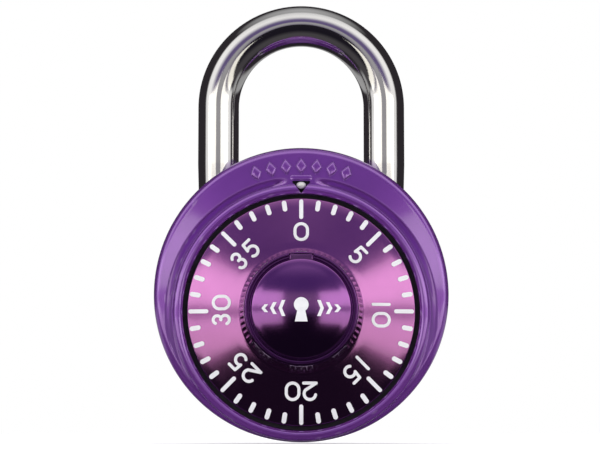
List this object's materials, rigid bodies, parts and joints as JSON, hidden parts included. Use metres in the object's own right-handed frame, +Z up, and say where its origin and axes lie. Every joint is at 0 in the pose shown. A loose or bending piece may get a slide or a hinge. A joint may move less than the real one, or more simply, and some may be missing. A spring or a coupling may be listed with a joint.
{
  "type": "combination padlock",
  "caption": "Round purple padlock opened by a numbered dial, with a plated shackle that lifts and swings.",
  "frame": {"origin": "centre of the flat back face, on the round case's axis", "axes": "+Z up towards the shackle, -Y out of the dial, +X to the right as seen from the front"},
  "size_m": [0.048, 0.0282, 0.073],
  "materials": {
    "purple_case": "satin",
    "purple_dial": "gloss",
    "white_paint": "satin",
    "chrome_plate": "polished",
    "bare_steel": "satin",
    "spring_steel": "satin",
    "cast_zinc": "matte",
    "brass_part": "satin",
    "blackened_steel": "matte"
  },
  "bodies": {
    "case": {"front_shell": "purple_case", "rear_cover": "bare_steel", "inner_case": "blackened_steel", "rear_plate": "bare_steel", "frame_pillars": "blackened_steel", "index_stud": "chrome_plate", "dial_bushing": "brass_part", "wheel_post": "bare_steel", "rear_spacer": "brass_part", "front_spacer": "brass_part", "disc_spring": "spring_steel", "lever_pin": "bare_steel", "lever_spring": "spring_steel", "latch_pin": "bare_steel", "latch_spring": "spring_steel", "toe_guide": "bare_steel", "heel_guide": "bare_steel"},
    "dial": {"dial_plate": "purple_dial", "dial_numerals": "white_paint", "dial_graduations": "white_paint", "knob": "purple_dial", "knob_cap": "purple_dial", "cap_emblem": "white_paint", "spindle": "bare_steel", "spindle_clip": "spring_steel", "drive_cam": "cast_zinc"},
    "middle_wheel_body": {"middle_wheel": "cast_zinc"},
    "rear_wheel_body": {"rear_wheel": "cast_zinc"},
    "fence": {"fence_lever": "bare_steel"},
    "latch_body": {"latch": "bare_steel"},
    "retainer": {"heel_retainer": "spring_steel"},
    "shackle_body": {"shackle": "chrome_plate"}
  },
  "joints": [
    {"name": "dial_spin", "type": "hinge", "parent": "case", "child": "dial", "pos_m": [0, -0.0189, -0.003], "axis": [0, -1, 0], "continuous": true},
    {"name": "middle_wheel_spin", "type": "hinge", "parent": "case", "child": "middle_wheel_body", "pos_m": [0, -0.0066, -0.003], "axis": [0, -1, 0], "range_deg": [-1080, 1080]},
    {"name": "rear_wheel_spin", "type": "hinge", "parent": "case", "child": "rear_wheel_body", "pos_m": [0, -0.0042, -0.003], "axis": [0, -1, 0], "range_deg": [-1080, 1080]},
    {"name": "shackle_lift", "type": "slide", "parent": "case", "child": "retainer", "axis": [0, 0, 1], "range_m": [0, 0.0116]},
    {"name": "shackle_swivel", "type": "hinge", "parent": "retainer", "child": "shackle_body", "pos_m": [0.01385, -0.0097, 0], "axis": [0, 0, 1], "continuous": true},
    {"name": "fence_drop", "type": "hinge", "parent": "case", "child": "fence", "pos_m": [0.0076, -0.0071, 0.011], "axis": [0, -1, 0], "range_deg": [0, 10], "deforming": ["lever_spring"]},
    {"name": "latch_turn", "type": "hinge", "parent": "case", "child": "latch_body", "pos_m": [-0.005, -0.0097, 0.0105], "axis": [0, -1, 0], "range_deg": [-46, 0], "deforming": ["latch_spring"]}
  ],
  "couplings": [
    {"joint": "fence_drop", "follows": "shackle_lift", "rad_per_m": 15.046},
    {"joint": "latch_turn", "follows": "shackle_lift", "rad_per_m": -69.211}
  ]
}
